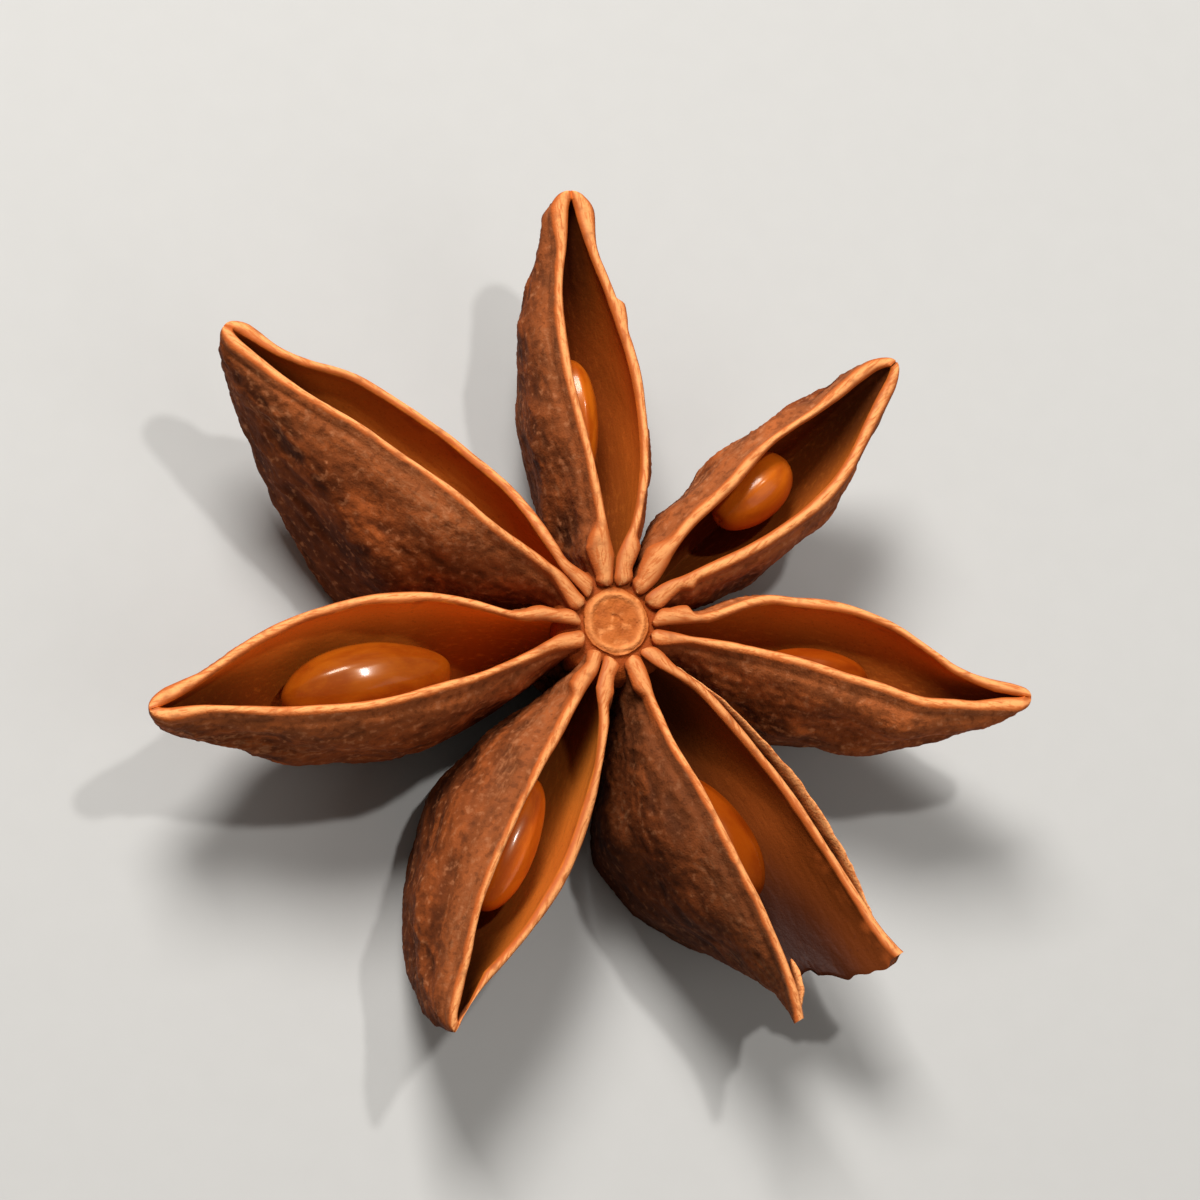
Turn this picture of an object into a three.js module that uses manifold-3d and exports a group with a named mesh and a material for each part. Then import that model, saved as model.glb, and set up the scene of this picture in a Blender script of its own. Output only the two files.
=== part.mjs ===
// Star anise pod: one dried star-shaped fruit with its seeds, lying open side up.
// Seven boat-shaped carpels stand round a short central column. Each has split open along its
// upper edge into two smooth rims, holds a hard hollow lining, and tapers to a small beak.
// Units are millimetres. +Z is up, +X and +Y lie in the plane of the star. The origin is the
// middle of the stalk scar, on the surface that the pod rests on.

import * as THREE from 'three';
import Module from 'manifold-3d';
import { mergeVertices } from 'three/addons/utils/BufferGeometryUtils.js';

const wasm = await Module();
wasm.setup();

// Driving sizes of the whole fruit
const RIM_LEVEL = 7.6;          // height of the rims where they meet the column
const RIM_ARCH = 0.5;           // how far the rims rise between the column and the beak
const RIM_START = 1.95;         // distance from the axis at which the rims begin
const RIM_HALF_WIDTH = 0.27;    // half the width of one rim
const RIM_CROWN = 0.16;         // how far a rim's rounded edge stands above its sides
const SLIT_HALF = 0.42;         // from the middle of the slit to a rim, at the column
const CLOSED = 0.5;             // the same at the beak of a carpel that closes to a point
const INNER_EDGE_LEAST = 0.08;  // the least distance from the middle to the lining
const BEAK_ROUNDS_AT = 0.92;    // part of the length from which a closed beak rounds off
const BEAK_BLUNTNESS = 0.3;     // width left at its very end, as a fraction

// Shape of a carpel's hull, as fractions of its own depth
const DEPTH_AT_COLUMN = 0.7;
const DEPTH_AT_BEAK = 0.1;
const DEPTH_AT_SPLIT_BEAK = 0.4;
const HOLLOW_DEPTH = 0.68;
const HOLLOW_AT_ENDS = 0.25;    // share of the hollow's depth that is left at the column and beak
const HOLLOW_AT_SPLIT_BEAK = 0.84;
const KEEL_THICKNESS = 0.5;     // the least wall under the hollow, in millimetres
const FLANK_SWELL = 1.45;       // how far a flank bulges out, at its fullest
const FLANK_SWELL_LEAST = 0.12;
const SWELL_DROP = 0.9;         // below one, the bulge sits a little lower on the flank
const LINING_SWELL = 0.8;       // the lining's bulge as a fraction of the flank's
const WRINKLE = 0.24;           // height of the coarse wrinkles on the flanks
const ROLL_REACHED_AT = 0.4;    // part of the length over which a carpel turns to its full roll
const ROLL_AT_BEAK = 0.5;       // share of that roll which is left at the beak

// Humps along a carpel: where each one peaks, as a part of the length, and how narrow it is
const SWAY_HUMP = [0.46, 2.2];
const ARCH_HUMP = [0.45, 1.5];
const HOLLOW_HUMP = [0.45, 1.2];
const SWELL_HUMP = [0.4, 1.7];
const GAPE_NARROWNESS = 3.2;

// How late along a carpel each change sets in: the power of the part of its length
const SPLIT_SETS_IN = 1.6;
const HOLLOW_SETS_IN = 3;
const RAKE_SETS_IN = 3;
const BEAK_SETS_IN = 4;
const RAKE_DOWN_THE_WALL = 1.5;

// Waves of the wrinkles, in radians along a carpel's length and down its flank
const SLANTING_WAVE = [19, 5];
const CROSSING_WAVE = [6, -9];
const LENGTHWISE_WAVE = [5, 11];
const LENGTHWISE_SHARE = 0.6;
const WRINKLES_START = [0.04, 0.2];
const WRINKLES_END = [0.03, 0.2];
const WAVES_SHIFT = 5;          // moves the waves on from one carpel to the next

// Everything below the resting surface is worn flat
const SUNK = 0.12;
const CUTTER = 80;

// The central column's outline, as [radius, height], from the stalk scar up its flared foot and
// its waist, over the raised ring round its top, to the shallow dish inside the ring
const COLUMN_OUTLINE = [
  [0, -SUNK],
  [1.5, -SUNK],
  [1.6, 0.5],
  [2.8, 1.1],
  [3.3, 2.2],
  [2.5, 4.85],
  [2.1, 6.25],
  [1.73, 6.95],
  [1.63, 7.51],
  [1.43, 7.61],
  [1.13, 7.45],
  [0.3, 7.5],
  [0, 7.47],
];

// How finely the surfaces are cut into triangles
const STATIONS = 22;
const STATIONS_CROWD = 1.25;    // above one, the outlines crowd towards the beak
const FLANK_STEPS = 7;
const LINING_STEPS = 4;
const COLUMN_SIDES = 28;
const SEED_SIDES = 14;
const SEED_RINGS = 9;
const SAME_POINT = 1e-5;        // corners closer than this are one

const BARK = { color: 0x7a4423, roughness: 0.78, metalness: 0 };
const SEED_COAT = { color: 0xa85a1c, roughness: 0.22, metalness: 0 };

// One entry for each carpel, anticlockwise from the right. Angles are in degrees.
// length: column axis to beak. gape: half the mouth at its widest, reached at `fullest`.
// sway and ess: sideways bend to the left, single and double. roll: turn of the keel to the left.
// clear: height of the keel over the resting surface. lift: rise of the beak. split: half the
// distance between the rims at the beak. rake: how far the keel stops short of the beak.
// deepest: where the hull is deepest. full: how soon it grows shallow from there, blunter for a
// smaller number.
const CARPELS = [
  { name: 'right', azimuth: -6.9, length: 20.7, gape: 1.4, fullest: 0.45, sway: 0.75, ess: 0.4,
    roll: -21, full: 1.8, deepest: 0.44, clear: -SUNK, lift: 0.6, split: CLOSED, rake: 0.2 },
  { name: 'upper_right', azimuth: 45, length: 19.5, gape: 1.85, fullest: 0.54, sway: -0.15, ess: 0,
    roll: 2, full: 1.8, deepest: 0.46, clear: 0.35, lift: 1.0, split: CLOSED, rake: 0.2 },
  { name: 'top', azimuth: 97, length: 21.2, gape: 1.35, fullest: 0.5, sway: -0.6, ess: -0.3,
    roll: 10, full: 1.6, deepest: 0.5, clear: -SUNK, lift: 0.8, split: CLOSED, rake: 0.2 },
  { name: 'upper_left', azimuth: 147, length: 23.3, gape: 1.5, fullest: 0.48, sway: -1.15, ess: 0,
    roll: 38, full: 1.5, deepest: 0.43, clear: 0.3, lift: 0.9, split: CLOSED, rake: 0.2 },
  { name: 'left', azimuth: 195.1, length: 23.5, gape: 2.35, fullest: 0.47, sway: -0.7, ess: 0,
    roll: 19, full: 1.4, deepest: 0.5, clear: -SUNK, lift: 0.6, split: CLOSED, rake: 0.2 },
  { name: 'lower_left', azimuth: 248.5, length: 22.0, gape: 1.8, fullest: 0.55, sway: 0.55, ess: 0,
    roll: -29, full: 1.4, deepest: 0.57, clear: 0.25, lift: 0.7, split: CLOSED, rake: 0.2 },
  { name: 'lower_right', azimuth: 303.5, length: 20.6, gape: 1.6, fullest: 0.43, sway: 0.5, ess: 0,
    roll: -32, full: 2.3, deepest: 0.5, clear: -SUNK, lift: 0.2, split: 3.6, rake: 2.6 },
];

// The seeds that show. at: distance from the axis, aside: to the left, below: under the rims.
const SEEDS = [
  { carpel: 'right', at: 10.8, aside: 0, below: 2.4, half: [3.0, 1.25, 1.6] },
  { carpel: 'upper_right', at: 10.6, aside: 0, below: 2.3, half: [2.5, 1.3, 1.5] },
  { carpel: 'top', at: 11.0, aside: 0.1, below: 2.7, half: [3.0, 1.15, 1.6] },
  { carpel: 'left', at: 12.2, aside: 0, below: 2.4, half: [4.0, 1.7, 1.7] },
  { carpel: 'lower_left', at: 11.8, aside: 0, below: 2.3, half: [3.2, 1.4, 1.6] },
  { carpel: 'lower_right', at: 11.2, aside: 0, below: 2.6, half: [3.3, 1.6, 1.7] },
];

const radians = THREE.MathUtils.degToRad;
const mix = THREE.MathUtils.lerp;
const smooth = THREE.MathUtils.smoothstep;

// A smooth hump along a carpel: nothing at both ends, one at `peak`, narrower for a larger power.
function hump(s, [peak, power]) {
  const rise = Math.pow(s / peak, peak);
  const fall = Math.pow((1 - s) / (1 - peak), 1 - peak);
  return Math.pow(rise * fall, power);
}

// The height of a plain wave at the part s of a carpel's length and t of the way down its flank.
function wave([along, down], s, t, shift) {
  return Math.sin(along * s + down * t + shift);
}

// Coarse wrinkles that slant along a flank, none at the rim, the keel and both ends.
function wrinkle(carpel, s, t) {
  const shift = radians(carpel.azimuth) * WAVES_SHIFT;
  const slanting = wave(SLANTING_WAVE, s, t, shift) * wave(CROSSING_WAVE, s, t, 2 * shift);
  const lengthwise = LENGTHWISE_SHARE * wave(LENGTHWISE_WAVE, s, t, shift);
  const fade = Math.sin(Math.PI * t) * smooth(s, ...WRINKLES_START) * smooth(1 - s, ...WRINKLES_END);
  return WRINKLE * fade * (slanting + lengthwise);
}

// Where each outline is set along a carpel, closer together towards the beak.
function stationAt(index) {
  return 1 - Math.pow(1 - index / (STATIONS - 1), STATIONS_CROWD);
}

// How much a carpel narrows as its beak rounds off. A split beak keeps its width.
function rounding(carpel, s) {
  if (carpel.split > CLOSED) {
    return 1;
  }
  const past = Math.max(0, (s - BEAK_ROUNDS_AT) / (1 - BEAK_ROUNDS_AT));
  return mix(BEAK_BLUNTNESS, 1, Math.sqrt(1 - past * past));
}

// The depth of a carpel's hull and of its hollow, at the part s of its length.
function depths(carpel, s) {
  const isSplit = carpel.split > CLOSED;
  const atBeak = isSplit ? DEPTH_AT_SPLIT_BEAK : DEPTH_AT_BEAK;
  const missing = 1 - mix(DEPTH_AT_COLUMN, atBeak, carpel.deepest);
  const shape = mix(DEPTH_AT_COLUMN, atBeak, s) + missing * hump(s, [carpel.deepest, carpel.full]);
  const greatest = (RIM_LEVEL + RIM_ARCH - carpel.clear) / Math.cos(radians(carpel.roll));
  const depth = greatest * shape;
  const closedShare = HOLLOW_DEPTH * mix(HOLLOW_AT_ENDS, 1, hump(s, HOLLOW_HUMP));
  const splitShare = mix(closedShare, HOLLOW_AT_SPLIT_BEAK, Math.pow(s, HOLLOW_SETS_IN));
  const share = isSplit ? splitShare : closedShare;
  return { depth, hollow: Math.min(depth * share, depth - KEEL_THICKNESS) };
}

// What else a carpel measures there: rim offsets, height, roll, middle line, bulge and rake.
function station(carpel, s) {
  const { depth, hollow } = depths(carpel, s);
  const rolled = smooth(s, 0, ROLL_REACHED_AT) * mix(1, ROLL_AT_BEAK, Math.pow(s, BEAK_SETS_IN));
  const opened = carpel.gape * hump(s, [carpel.fullest, GAPE_NARROWNESS]);
  const parted = (carpel.split - SLIT_HALF) * Math.pow(s, SPLIT_SETS_IN);
  const lifted = RIM_ARCH * hump(s, ARCH_HUMP) + carpel.lift * Math.pow(s, BEAK_SETS_IN);
  return {
    depth,
    hollow,
    roll: radians(carpel.roll) * rolled,
    half: SLIT_HALF + opened + parted,
    height: RIM_LEVEL + lifted,
    along: mix(RIM_START, carpel.length, s),
    middle: carpel.sway * hump(s, SWAY_HUMP) + carpel.ess * Math.sin(2 * Math.PI * s),
    swell: FLANK_SWELL_LEAST + FLANK_SWELL * hump(s, SWELL_HUMP),
    rake: carpel.rake * Math.pow(s, RAKE_SETS_IN),
    narrowing: rounding(carpel, s),
  };
}

// One half of a wall's section, from its rim down to the middle line, bulging outwards.
function wall(edge, depth, swell, steps, relief) {
  const points = [];
  for (let i = 0; i <= steps; i += 1) {
    const t = i / steps;
    const bulge = swell * Math.sin(Math.PI * Math.pow(t, SWELL_DROP)) + relief(t);
    points.push([edge * (1 - t) + bulge, -depth * t]);
  }
  return points;
}

// The closed outline across a carpel, as [sideways, height] pairs: down the left flank, up the
// right one, over its rim, down and up the lining, and back over the left rim.
function outline(carpel, s) {
  const at = station(carpel, s);
  const outerEdge = at.half + RIM_HALF_WIDTH;
  const innerEdge = Math.max(at.half - RIM_HALF_WIDTH, INNER_EDGE_LEAST);
  const left = wall(outerEdge, at.depth, at.swell, FLANK_STEPS, (t) => wrinkle(carpel, s, t));
  const right = wall(outerEdge, at.depth, at.swell, FLANK_STEPS, (t) => wrinkle(carpel, s, -t));
  const lining = wall(innerEdge, at.hollow, at.swell * LINING_SWELL, LINING_STEPS, () => 0);
  const mirrored = ([across, up]) => [-across, up];
  return [
    ...left,
    ...right.slice(0, -1).map(mirrored).reverse(),
    [-at.half, RIM_CROWN],
    ...lining.map(mirrored),
    ...lining.slice(0, -1).reverse(),
    [at.half, RIM_CROWN],
  ];
}

// Turns an outline point by the carpel's roll and sets it at its place along the arm.
function place(carpel, s, across, up) {
  const at = station(carpel, s);
  const narrowed = across * at.narrowing;
  const turnedAcross = narrowed * Math.cos(at.roll) - up * Math.sin(at.roll);
  const turnedUp = narrowed * Math.sin(at.roll) + up * Math.cos(at.roll);
  const along = at.along - at.rake * Math.pow(Math.max(-up, 0) / at.depth, RAKE_DOWN_THE_WALL);
  const heading = radians(carpel.azimuth);
  const sideways = at.middle + turnedAcross;
  return [
    along * Math.cos(heading) - sideways * Math.sin(heading),
    along * Math.sin(heading) + sideways * Math.cos(heading),
    at.height + turnedUp,
  ];
}

// A carpel's hull: its outlines joined into a skin, with both ends closed.
function carpelGeometry(carpel) {
  const positions = [];
  const faces = [];
  let count = 0;
  for (let i = 0; i < STATIONS; i += 1) {
    const s = stationAt(i);
    const points = outline(carpel, s);
    count = points.length;
    points.forEach(([across, up]) => positions.push(...place(carpel, s, across, up)));
  }
  for (let i = 0; i < STATIONS - 1; i += 1) {
    for (let j = 0; j < count; j += 1) {
      const a = i * count + j;
      const b = i * count + (j + 1) % count;
      faces.push(a, a + count, b, b, a + count, b + count);
    }
  }
  for (const end of [0, STATIONS - 1]) {
    const flat = outline(carpel, stationAt(end)).map(([x, y]) => new THREE.Vector2(x, y));
    const outward = THREE.ShapeUtils.isClockWise(flat) !== (end === 0);
    for (const [a, b, c] of THREE.ShapeUtils.triangulateShape(flat, [])) {
      const corner = outward ? [a, b, c] : [a, c, b];
      faces.push(...corner.map((index) => index + end * count));
    }
  }
  const geometry = new THREE.BufferGeometry();
  geometry.setAttribute('position', new THREE.Float32BufferAttribute(positions, 3));
  geometry.setIndex(faces);
  return geometry;
}

// The column that carries the carpels: its outline turned about the upright axis.
function columnGeometry() {
  const outlinePoints = COLUMN_OUTLINE.map(([radius, height]) => new THREE.Vector2(radius, height));
  const geometry = new THREE.LatheGeometry(outlinePoints, COLUMN_SIDES);
  geometry.rotateX(Math.PI / 2);
  return geometry;
}

// A closed mesh as a solid that can be joined and cut.
function solid(geometry) {
  const bare = geometry.clone();
  bare.deleteAttribute('normal');
  bare.deleteAttribute('uv');
  const merged = mergeVertices(bare, SAME_POINT);
  return new wasm.Manifold(new wasm.Mesh({
    numProp: 3,
    vertProperties: new Float32Array(merged.attributes.position.array),
    triVerts: new Uint32Array(merged.index.array),
  }));
}

// The joined solid, as a mesh's geometry.
function skin(made) {
  const mesh = made.getMesh();
  const geometry = new THREE.BufferGeometry();
  geometry.setAttribute('position', new THREE.BufferAttribute(mesh.vertProperties, 3));
  geometry.setIndex(new THREE.BufferAttribute(mesh.triVerts, 1));
  geometry.computeVertexNormals();
  return geometry;
}

// The fruit: all carpels joined to the column, worn flat where it rests.
function fruitGeometry() {
  let joined = solid(columnGeometry());
  for (const carpel of CARPELS) {
    joined = joined.add(solid(carpelGeometry(carpel)));
  }
  const resting = new THREE.BoxGeometry(CUTTER, CUTTER, CUTTER);
  resting.translate(0, 0, -CUTTER / 2);
  return skin(joined.subtract(solid(resting)));
}

// A smooth seed, longer than high and higher than thick, lying in its carpel's hollow.
function seedGeometry(seed) {
  const carpel = CARPELS.find((each) => each.name === seed.carpel);
  const s = (seed.at - RIM_START) / (carpel.length - RIM_START);
  const at = station(carpel, s);
  const centre = place(carpel, s, seed.aside, -seed.below);
  const geometry = new THREE.SphereGeometry(1, SEED_SIDES, SEED_RINGS);
  geometry.rotateZ(Math.PI / 2);
  geometry.scale(...seed.half);
  geometry.rotateX(at.roll);
  geometry.rotateZ(radians(carpel.azimuth));
  geometry.translate(...centre);
  return geometry;
}

const pod = new THREE.Group();

const fruit = new THREE.Mesh(fruitGeometry(), new THREE.MeshStandardMaterial(BARK));
fruit.name = 'fruit';
pod.add(fruit);

for (const seed of SEEDS) {
  const mesh = new THREE.Mesh(seedGeometry(seed), new THREE.MeshStandardMaterial(SEED_COAT));
  mesh.name = `seed_${seed.carpel}`;
  pod.add(mesh);
}

export default pod;
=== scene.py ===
# Star anise pod: one dried star-shaped fruit with its seeds, lying open side up.
# Seven boat-shaped carpels stand round a short central column. Each has split open along its
# upper edge into two smooth pale rims, has a rough wrinkled bark outside and a hard satin lining
# inside, and tapers to a small beak. Glossy seeds lie in six of the hollows.
# Shapes are worked out in millimetres and go into the meshes in metres. +Z is up, and the origin
# is the middle of the stalk scar, on the surface that the pod rests on.

import math

import bpy
import numpy as np
from mathutils import Matrix, Vector


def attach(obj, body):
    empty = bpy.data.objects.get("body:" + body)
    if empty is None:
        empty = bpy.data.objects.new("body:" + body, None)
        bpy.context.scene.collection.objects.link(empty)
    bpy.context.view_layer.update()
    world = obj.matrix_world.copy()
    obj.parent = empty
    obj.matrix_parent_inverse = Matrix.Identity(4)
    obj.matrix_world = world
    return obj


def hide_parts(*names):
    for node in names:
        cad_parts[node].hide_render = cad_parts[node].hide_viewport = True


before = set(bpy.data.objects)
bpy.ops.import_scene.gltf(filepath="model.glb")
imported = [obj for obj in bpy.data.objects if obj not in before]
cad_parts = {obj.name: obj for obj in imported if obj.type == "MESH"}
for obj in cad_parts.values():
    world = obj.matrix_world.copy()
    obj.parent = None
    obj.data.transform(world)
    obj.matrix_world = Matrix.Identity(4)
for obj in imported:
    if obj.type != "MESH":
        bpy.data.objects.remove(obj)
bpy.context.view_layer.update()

MM = 0.001
BODY = "root"
LEFT, RIGHT = 1, -1  # the two sides of a carpel, seen from the column outwards

# Sizes that the solids have too, in millimetres or as fractions of the carpel
RIM_LEVEL = 7.6
RIM_ARCH = 0.5
RIM_FROM_AXIS = 1.95
RIM_HALF_WIDTH = 0.27
SLIT_HALF = 0.42
CLOSED = 0.5
DEPTH_AT_COLUMN = 0.7
DEPTH_AT_BEAK = 0.1
DEPTH_AT_SPLIT_BEAK = 0.4
HOLLOW_DEPTH = 0.68
HOLLOW_AT_ENDS = 0.25
HOLLOW_AT_SPLIT_BEAK = 0.84
KEEL_THICKNESS = 0.5
FLANK_SWELL = 1.45
FLANK_SWELL_LEAST = 0.12
SWELL_DROP = 0.9
LINING_SWELL = 0.8
ROLL_REACHED_AT = 0.4
ROLL_AT_BEAK = 0.5
SWAY_HUMP = (0.46, 2.2)
ARCH_HUMP = (0.45, 1.5)
HOLLOW_HUMP = (0.45, 1.2)
SWELL_HUMP = (0.4, 1.7)
GAPE_NARROWNESS = 3.2
SPLIT_SETS_IN = 1.6
HOLLOW_SETS_IN = 3
RAKE_SETS_IN = 3
BEAK_SETS_IN = 4
RAKE_DOWN_THE_WALL = 1.5
SUNK = 0.12

# Finer sizes of the rims, the bark and the lining, in millimetres
LOBE_START = 1.76  # distance from the axis at which the rims start
LOBE_PULL = 0.06  # over what part of the length they are moved there
LOBE_ROUNDS_OVER = 0.34  # length of the rounded end of a rim at the column
LOBE_END_LEAST = 0.002  # what is left of that round at its very end, as a part
LOBE_CROWN = 0.6  # how high a rim's edge is at the column, as a part of RIM_CROWN
LOBE_MOST = 0.36  # how much wider than the rim a lobe without a pad is
LOBES_NARROW = (2.3, 4.0)  # between which distances from the axis the lobes narrow
CROWN_GROWS = (2.2, 5.0)  # between which distances the rim's edge reaches its full height
CLEFT = 0.18  # width of the clefts between neighbouring rims at the column
PAD_CLINGS = 5  # how soon a rim's extra width is lost down the flank: a power
PAD_VARIES = 0.14
PAD_CROWN = 0.12  # how much higher the edge is for each millimetre of extra width
PAD_LUMPS = 0.05
RIM_CROWN = 0.25  # how far a rim's round edge stands up
RIM_WIDTH_VARIES = 0.22
RIM_UNEVEN = 0.06
RIM_GRAIN = 0.012
SLIT_LEAST = 0.03  # half the width of the slit, where it is closed
BEAK_ROUNDS_OVER = 1.1  # length of the rounded end of a closed beak
BEAK_WALL = 1.6  # thickness of that end, in half widths of a rim
WIDTH_AT_BEAK_END = 0.1  # what is left of the width, crown and depth at the very end
CROWN_AT_BEAK_END = 0.4
DEPTH_AT_BEAK_END = 0.35
RAGGED = 0.5  # how far the torn end of a split beak runs out and in
RAGGED_OVER = 0.12  # over what part of the length that comes
COARSE_WRINKLE = 0.24
WRINKLES = (19, 5, 6, -9, 5, 11)  # waves along and down the wall: two slanting, one lengthwise
LENGTHWISE_PART = 0.6
WRINKLES_SHIFT = 5  # how far the wrinkles are shifted, for each radian of azimuth
WRINKLES_START = (0.04, 0.2)  # over which part of the length they come in, and end at the beak
WRINKLES_STOP = (0.03, 0.2)
FOLD = 0.13  # height of the irregular folds of the bark
FOLD_SHARP = 0.6  # the part of them that is sharp, the rest being soft
CREASE = 0.035  # height of the fine creases between them
GRAIN = 0.024  # height of its rough grain
# The folds' and creases' height paints the bark lighter on the ridges and darker in the hollows:
# painted light and shade
FOLD_SHOWS = 0.65  # how much folds and creases count for the colours
CREASE_SHOWS = 0.35
BEND = 0.6  # how far, and how finely, folds and creases are bent
BEND_FINENESS = 0.8
UNDER_RIM_GROOVE = 0.07
GROOVE_AT = 0.34
GROOVE_WIDTH = 0.16
LINING_WAVE = 0.05
LINING_FIBRE = 0.008
BARK_FROM = (0.1, 0.9)  # how far under the crown each relief comes in, or ends
LINING_FROM = (0.1, 0.8)
RIM_UP_TO = (0.0, 0.3)
LUMPS_UP_TO = (3.5, 5.5)  # and at which distance from the axis the lobes' lumps end
RELIEF_FADES = 0.02  # over what part of the length the relief fades at both ends

# Noises: how fine, all round or along, aside and up, in cells to the millimetre; the number that
# starts the random draws; and how many octaves
NOISES = {
    "rim": ((0.3, 1, 1), 11, 2),
    "pad": ((1.3, 1, 1), 12, 2),
    "torn": ((3.5, 0, 0), 15, 2),
    "strip": (1.7, 17, 2),
    "fold": ((0.45, 0.7, 0.7), 21, 1),
    "soft_fold": ((0.3, 0.4, 0.4), 31, 2),
    "crease": ((1.2, 2.2, 2.2), 41, 1),
    "grain": (5, 51, 2),
    "lining_wave": ((0.22, 0.5, 0.5), 61, 2),
    "lining_fibre": ((0.8, 7, 7), 71, 2),
    "rim_grain": ((0.9, 2.5, 2.5), 81, 3),
    "lobe_lumps": ((0.6, 1.1, 1.1), 83, 2),
    "fringe": ((1.5, 2.5, 2.5), 85, 2),
    "ring_bend": (0.9, 5, 2),
    "ring_height": (1.1, 6, 2),
    "mottle": (2.2, 7, 3),
    "ripple": ((1.2, 1.2, 0.5), 8, 3),
    "dent": (0.4, 91, 2),
}
LATTICE_PRIMES = (73856093, 19349663, 83492791)
LATTICE_VALUES = 4096
RIMS_APART = 7.3  # how far apart two rims lie in the noises, and their three ways to vary
WAYS_APART = 5
PADS_APART = 20
PIECES_APART = 31.7  # how far apart two carpels or seeds lie there
DENTS_APART = 13.1

# How finely the surfaces are worked out
STATIONS = 264
ARC_STEPS = 6
WALL_STEPS = 72
BUNCHED = (0.5, 0.8)  # how much closer the stations are at the column, and at the beak
LEAST = 1e-6
SHORTEST = 1e-12

# One entry for each carpel, anticlockwise from the right, with the words of the solids: angles in
# degrees; length from the axis to the beak; gape: half the mouth at its widest, reached at
# `fullest`; sway and ess: bend to the left, single and double; roll: turn of the keel to the left;
# full and deepest: the keel's curve; clear: height of the keel over the ground; lift: rise of the
# beak; split: half the distance of the rims at the beak; rake: how far the keel stops short of it.
NAMES = ("azimuth", "length", "gape", "fullest", "sway", "ess", "roll", "full", "deepest", "clear",
         "lift", "split", "rake")
CARPELS = {
    "right": (-6.9, 20.7, 1.4, 0.45, 0.75, 0.4, -21, 1.8, 0.44, -SUNK, 0.6, CLOSED, 0.2),
    "upper_right": (45, 19.5, 1.85, 0.54, -0.15, 0, 2, 1.8, 0.46, 0.35, 1.0, CLOSED, 0.2),
    "top": (97, 21.2, 1.35, 0.5, -0.6, -0.3, 10, 1.6, 0.5, -SUNK, 0.8, CLOSED, 0.2),
    "upper_left": (147, 23.3, 1.5, 0.48, -1.15, 0, 38, 1.5, 0.43, 0.3, 0.9, CLOSED, 0.2),
    "left": (195.1, 23.5, 2.35, 0.47, -0.7, 0, 19, 1.4, 0.5, -SUNK, 0.6, CLOSED, 0.2),
    "lower_left": (248.5, 22.0, 1.8, 0.55, 0.55, 0, -29, 1.4, 0.57, 0.25, 0.7, CLOSED, 0.2),
    "lower_right": (303.5, 20.6, 1.6, 0.43, 0.5, 0, -32, 2.3, 0.5, -SUNK, 0.2, 3.6, 2.6),
}
CARPELS = {name: dict(zip(NAMES, sizes)) for name, sizes in CARPELS.items()}

# Where a rim is wider than elsewhere, most of them the pads in which the rims end at the column:
# carpel, side, how much wider on its outer edge, from and to which distance from the axis, and
# over what lengths that comes and goes
WIDENINGS = [
    ("right", LEFT, 0.46, 1.5, 3.8, 1.6, 0.6),
    ("right", RIGHT, 0.2, 1.5, 3.6, 1.0, 1.4),
    ("upper_right", LEFT, 0.8, 1.5, 5.2, 2.0, 2.2),
    ("upper_right", RIGHT, 0.14, 1.5, 3.2, 0.8, 1.0),
    ("upper_right", RIGHT, 0.36, 3.2, 4.4, 0.8, 0.6),
    ("top", LEFT, 0.85, 1.5, 5.0, 1.8, 1.5),
    ("top", RIGHT, 0.5, 1.5, 4.2, 1.6, 0.9),
    ("top", RIGHT, 0.36, 14.0, 15.9, 1.6, 0.3),
    ("upper_left", LEFT, 0.12, 1.5, 3.8, 1.0, 1.8),
    ("upper_left", RIGHT, 0.12, 1.5, 3.4, 1.0, 1.6),
    ("left", LEFT, 0.22, 1.5, 4.4, 1.2, 1.9),
    ("left", RIGHT, 0.42, 1.5, 5.3, 2.2, 1.9),
    ("lower_left", LEFT, 0.34, 1.5, 4.2, 1.6, 0.9),
    ("lower_left", RIGHT, 0.5, 1.5, 4.6, 2.0, 0.8),
    ("lower_right", LEFT, 0.2, 1.5, 3.4, 1.2, 0.8),
    ("lower_right", RIGHT, 0.46, 1.5, 3.9, 1.5, 0.8),
]

# Where a rim leans towards the middle of its carpel, or away from it where the number is negative,
# in the same words
LEANINGS = [
    ("right", LEFT, 0.6, 2.4, 8.0, 2.0, 3.6),
    ("right", LEFT, -0.55, 8.0, 16.8, 4.0, 3.4),
    ("right", LEFT, 0.2, 15.6, 21.0, 1.4, 1.2),
    ("right", RIGHT, -0.3, 12.5, 19.8, 3.0, 2.4),
    ("top", LEFT, 0.14, 2.0, 5.0, 0.8, 1.8),
    ("top", RIGHT, 0.14, 2.0, 5.0, 0.8, 1.8),
    ("upper_right", LEFT, 0.85, 5.0, 18.6, 4.5, 4.5),
    ("upper_left", LEFT, 0.3, 2.2, 8.5, 1.8, 4.0),
    ("upper_left", RIGHT, 0.34, 2.2, 8.5, 1.8, 4.0),
    ("upper_left", LEFT, -0.5, 14.5, 23.0, 4.5, 3.2),
    ("upper_left", RIGHT, 0.4, 16.5, 23.0, 3.0, 3.2),
    ("left", RIGHT, 0.5, 2.6, 9.5, 2.4, 4.5),
    ("lower_left", LEFT, 0.2, 2.0, 5.5, 1.0, 2.5),
    ("lower_left", RIGHT, 0.1, 2.0, 5.0, 1.0, 2.5),
    ("lower_left", LEFT, 0.95, 8.0, 24.5, 9.5, 3.5),
]
CLOSED_AT_COLUMN = 0.15  # how far all rims lean together at the column
COLUMN_OPENS = (2.6, 4.4)

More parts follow.
